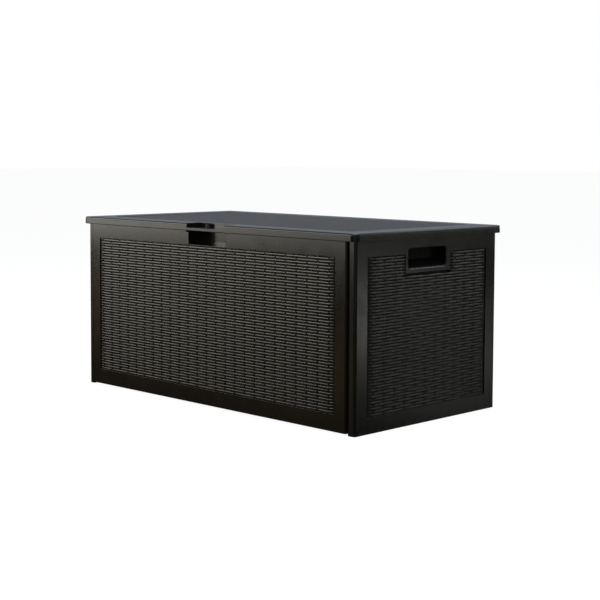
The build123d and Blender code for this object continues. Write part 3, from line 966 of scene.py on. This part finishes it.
@dataclass
class Lid:
    """Lid: outer shell with a woven field on top, and its inner liner.

    half_length and half_depth are half the size of the recess on top. It is shallower than
    those of the walls, so its sheet is thinner and its rows take fewer grid lines.
    """

    half_length: float = 0.5315
    half_depth: float = 0.259
    recess: float = 2.2 * MM
    rows: int = 61
    columns: int = 25
    gap: float = 0.1 * MM
    base_rise: float = 0.3 * MM
    crest_drop: float = 0.15 * MM
    row_samples: tuple[float, ...] = (0.0, 0.08, 0.2, 0.5, 0.8, 0.92)
    pieces: list[bpy.types.Object] = field(default_factory=list)

    def build(self) -> None:
        """Make the woven field on top of the lid."""
        length = 2 * (self.half_length - self.gap)
        depth = 2 * (self.half_depth - self.gap)
        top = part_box("lid_outer_shell")[1].z
        corner = Vector((-length / 2, -depth / 2, top))
        pitch = length / self.columns
        self.pieces = [
            WovenField(
                name="lid_weave",
                plane=WallPlane(corner, Vector((1, 0, 0)), Vector((0, 1, 0))),
                length=length,
                height=depth,
                rows=self.rows,
                pitch=pitch,
                lead=pitch / 2,
                recess=self.recess,
                body=Body.LID,
                base_rise=self.base_rise,
                crest_drop=self.crest_drop,
                row_samples=self.row_samples,
            ).build()
        ]

    def dress(self) -> None:
        """Finish the shell, its field and the liner."""
        cane = woven("woven_polypropylene_lid", (1.0, 0.0, 0.0)).material()
        self.pieces[0].data.materials.append(cane)
        dress(bpy.data.materials[SATIN_POLYPROPYLENE.name], "lid_outer_shell")
        dress(bpy.data.materials[PLAIN_POLYPROPYLENE.name], "lid_inner_liner")


@dataclass
class HingeRow:
    """Three nylon hinges with steel pins, and every screw group of the box."""

    places: tuple[str, ...] = ("left", "centre", "right")

    def dress(self) -> None:
        """Finish leaves, pins and screws."""
        nylon = GLASS_FILLED_NYLON.material()
        zinc = ZINC_PLATED_STEEL.material()
        for place in self.places:
            dress(nylon, f"hinge_lower_leaf_{place}", f"hinge_upper_leaf_{place}")
            dress(zinc, f"hinge_pin_{place}")
        dress(zinc, "hinge_panel_screws", "hinge_lid_screws")
        for side in Side:
            dress(
                zinc,
                f"corner_screws_{side.value}",
                f"body_bracket_screws_{side.value}",
                f"lid_bracket_screws_{side.value}",
            )


@dataclass
class GasStruts:
    """The pair of gas struts with their eyes, glands and brackets."""

    sides: tuple[Side, ...] = (Side.LEFT, Side.RIGHT)

    def dress(self) -> None:
        """Finish every part of both struts."""
        finishes = {
            GLOSS_PAINTED_TUBE.material(): ("strut_tube",),
            HARD_CHROME.material(): ("strut_rod",),
            POWDER_COATED_STEEL.material(): ("strut_body_bracket", "strut_lid_bracket"),
            MOULDED_ACETAL.material(): (
                "strut_lower_eye", "strut_upper_eye", "strut_gland", "strut_piston"
            ),
        }
        for finish, stems in finishes.items():
            dress(finish, *(f"{stem}_{side.value}" for stem in stems for side in self.sides))


# ---------------------------------------------------------------- studio and camera
@dataclass(frozen=True)
class Softbox:
    """Rectangular studio light, aimed at a point.

    size is its width and height, and radiance is what a mirror would show of it.
    """

    name: str
    place: tuple[float, float, float]
    aim: tuple[float, float, float]
    size: tuple[float, float]
    radiance: float
    colour: str

    def build(self) -> None:
        """Hang the light: its power is radiance times pi times its area."""
        light = bpy.data.lights.new(self.name, "AREA")
        light.shape = "RECTANGLE"
        light.size, light.size_y = self.size
        light.energy = self.radiance * math.pi * self.size[0] * self.size[1]
        light.color = linear(self.colour)[:3]
        lamp = bpy.data.objects.new(self.name, light)
        lamp.location = self.place
        direction = Vector(self.aim) - Vector(self.place)
        lamp.rotation_euler = direction.to_track_quat("-Z", "Y").to_euler()
        bpy.context.scene.collection.objects.link(lamp)


@dataclass(frozen=True)
class Glow:
    """Soft round patch of light in the room, seen only as a reflection in the walls.

    direction points from the box to it, and reach is its radius on a sphere of radius 1.
    """

    direction: tuple[float, float, float]
    reach: float
    radiance: tuple[float, float, float]

    def add_to(
        self,
        tree: bpy.types.NodeTree,
        direction: bpy.types.NodeSocket,
        colour: bpy.types.NodeSocket,
    ) -> bpy.types.NodeSocket:
        """Add the patch to the room's colour.

        Args:
            tree: Node tree of the world.
            direction: Direction that is looked up.
            colour: Room colour so far.

        Returns:
            The room colour with the patch.
        """
        away = add_node(
            tree, "ShaderNodeVectorMath", {"operation": "DISTANCE", 1: self.direction},
            {0: direction},
        ).outputs["Value"]
        strength = add_node(
            tree,
            "ShaderNodeMapRange",
            {"interpolation_type": "SMOOTHSTEP", "From Min": self.reach, "From Max": 0.0},
            {"Value": away},
        ).outputs["Result"]
        return add_node(
            tree,
            "ShaderNodeMix",
            {"data_type": "RGBA", "blend_type": "ADD", 7: (*self.radiance, 1.0)},
            {0: strength, 6: colour},
        ).outputs[2]


@dataclass
class Studio:
    """Pale floor, soft boxes and a white surround.

    Heights on the surround are the z of a direction of length 1. rise_band is where the
    dark horizon turns to the room above, sink_band where it turns to the floor below.
    """

    floor_half: float = 40.0
    floor_glow: float = 0.93
    floor_tone: str = "#6f6f6f"
    white: str = "#ffffff"
    horizon: tuple[float, float, float] = (0.012, 0.011, 0.008)
    room_above: tuple[float, float, float] = (0.26, 0.28, 0.32)
    room_below: tuple[float, float, float] = (0.12, 0.12, 0.10)
    rise_band: tuple[float, float] = (-0.12, 0.10)
    sink_band: tuple[float, float] = (-0.22, -0.50)
    softboxes: tuple[Softbox, ...] = (
        Softbox("left_softbox", (-3.7, -3.5, 1.50), (0, 0, 0.45), (3.2, 2.6), 3.8, "#fdfaee"),
        Softbox("front_softbox", (-0.4, -3.6, 1.7), (0, -0.3, 0.5), (1.6, 1.2), 4.0, "#ffecd2"),
        Softbox("overhead_softbox", (0.3, 0.2, 3.2), (0, 0, 0.5), (3.0, 2.0), 3.5, "#f4f8ff"),
        Softbox("side_softbox", (3.6, 3.6, 1.25), (0.6, 0, 0.3), (1.8, 1.8), 0.8, "#f6f4e0"),
        Softbox("rear_softbox", (1.0, 3.2, 2.9), (0.6, 0, 0.5), (1.4, 0.9), 2.5, "#f8f8ff"),
    )
    glows: tuple[Glow, ...] = (
        Glow((-0.749, -0.652, -0.112), 0.060, (1.10, 0.60, 0.22)),
        Glow((-0.790, -0.603, -0.100), 0.045, (0.90, 0.62, 0.32)),
        Glow((-0.674, -0.719, -0.165), 0.035, (1.50, 0.80, 0.22)),
        Glow((0.668, 0.735, -0.112), 0.032, (2.80, 2.80, 2.50)),
        Glow((0.646, 0.753, -0.132), 0.036, (5.40, 5.40, 5.20)),
        Glow((0.622, 0.768, -0.155), 0.030, (3.60, 3.60, 3.50)),
        Glow((0.700, -0.700, 0.020), 0.300, (0.35, 0.35, 0.33)),
    )

    def build(self) -> None:
        """Lay the floor, hang the lights and set the surround."""
        self.floor()
        for softbox in self.softboxes:
            softbox.build()
        self.surround()
        bpy.context.scene.view_settings.view_transform = "Standard"

    def floor(self) -> None:
        """Lay a flat pale floor that lights nothing, so that the walls keep a dark foot."""
        half = self.floor_half
        mesh = bpy.data.meshes.new("studio_floor")
        mesh.from_pydata(
            [(-half, -half, 0), (half, -half, 0), (half, half, 0), (-half, half, 0)],
            [],
            [(0, 1, 2, 3)],
        )
        floor = bpy.data.objects.new("studio_floor", mesh)
        bpy.context.scene.collection.objects.link(floor)
        floor.visible_diffuse = False
        floor.visible_glossy = False
        floor.visible_shadow = False
        # Matt painted paper: almost white, with only a faint shadow under the box.
        paper = bpy.data.materials.new("matt_paper_floor")
        paper.use_nodes = True
        tree = paper.node_tree
        tree.nodes.clear()
        shader = add_node(
            tree,
            "ShaderNodeBsdfPrincipled",
            {
                "Base Color": linear(self.floor_tone),
                "Roughness": 1.0,
                "IOR": 1.0,
                "Emission Color": linear(self.white),
                "Emission Strength": self.floor_glow,
            },
        )
        add_node(tree, "ShaderNodeOutputMaterial", {}, {"Surface": shader.outputs["BSDF"]})
        mesh.materials.append(paper)

    def surround(self) -> None:
        """Set a white backdrop to the eye and, as light, a dim room with a dark horizon.

        The band just below the horizon is what the walls mirror to the camera. Further
        down, the room is grey again, as a pale floor is. The glows are added over both.
        """
        world = bpy.data.worlds.new("studio_surround")
        bpy.context.scene.world = world
        world.use_nodes = True
        tree = world.node_tree
        tree.nodes.clear()
        direction = add_node(tree, "ShaderNodeTexCoord", {}).outputs["Generated"]
        parts = add_node(tree, "ShaderNodeSeparateXYZ", {}, {"Vector": direction})
        rise = add_node(
            tree,
            "ShaderNodeMapRange",
            {
                "interpolation_type": "SMOOTHSTEP",
                "From Min": self.rise_band[0],
                "From Max": self.rise_band[1],
            },
            {"Value": parts.outputs["Z"]},
        ).outputs["Result"]
        tint = add_node(
            tree,
            "ShaderNodeMix",
            {"data_type": "RGBA", 6: (*self.horizon, 1.0), 7: (*self.room_above, 1.0)},
            {0: rise},
        ).outputs[2]
        below = add_node(
            tree,
            "ShaderNodeMapRange",
            {
                "interpolation_type": "SMOOTHSTEP",
                "From Min": self.sink_band[0],
                "From Max": self.sink_band[1],
            },
            {"Value": parts.outputs["Z"]},
        ).outputs["Result"]
        tint = add_node(
            tree,
            "ShaderNodeMix",
            {"data_type": "RGBA", 7: (*self.room_below, 1.0)},
            {0: below, 6: tint},
        ).outputs[2]
        for glow in self.glows:
            tint = glow.add_to(tree, direction, tint)
        room = add_node(tree, "ShaderNodeBackground", {"Strength": 1.0}, {"Color": tint})
        white = add_node(
            tree, "ShaderNodeBackground", {"Color": linear(self.white), "Strength": 1.0}
        )
        to_eye = add_node(tree, "ShaderNodeLightPath", {}).outputs["Is Camera Ray"]
        seen = add_node(
            tree,
            "ShaderNodeMixShader",
            {},
            {0: to_eye, 1: room.outputs["Background"], 2: white.outputs["Background"]},
        )
        add_node(tree, "ShaderNodeOutputWorld", {}, {"Surface": seen.outputs["Shader"]})


@dataclass(frozen=True)
class ViewPoint:
    """Camera that looks down the near right corner, a little above the lid."""

    place: tuple[float, float, float] = (3.0194, -2.9532, 0.7807)
    heading: float = 44.903     # degrees left of +Y
    dip: float = 3.895          # degrees below the horizon
    roll: float = 0.27          # degrees
    lens: float = 80.05         # mm
    sensor: float = 36.0        # mm
    rise_shift: float = -0.1    # share of the sensor
    clip: tuple[float, float] = (0.05, 200.0)

    def build(self) -> None:
        """Make the scene's camera."""
        data = bpy.data.cameras.new("view_camera")
        data.lens = self.lens
        data.sensor_width = self.sensor
        data.shift_y = self.rise_shift
        data.clip_start, data.clip_end = self.clip
        camera = bpy.data.objects.new("view_camera", data)
        turn = Matrix.Rotation(math.radians(self.heading), 4, "Z")
        tilt = Matrix.Rotation(math.radians(90 - self.dip), 4, "X")
        spin = Matrix.Rotation(math.radians(self.roll), 4, "Z")
        camera.matrix_world = Matrix.Translation(self.place) @ turn @ tilt @ spin
        bpy.context.scene.collection.objects.link(camera)
        bpy.context.scene.camera = camera


def main() -> None:
    """Build the studio and each sub-assembly in order."""
    logging.basicConfig(level=logging.INFO, format="%(name)s: %(message)s")
    ViewPoint().build()
    Studio().build()
    box_body, lid = BoxBody(), Lid()
    for assembly in (box_body, lid):
        assembly.build()
        assembly.dress()
    for assembly in (HingeRow(), GasStruts()):
        assembly.dress()
        log.info("%s dressed", type(assembly).__name__)


if __name__ == "__main__":
    main()
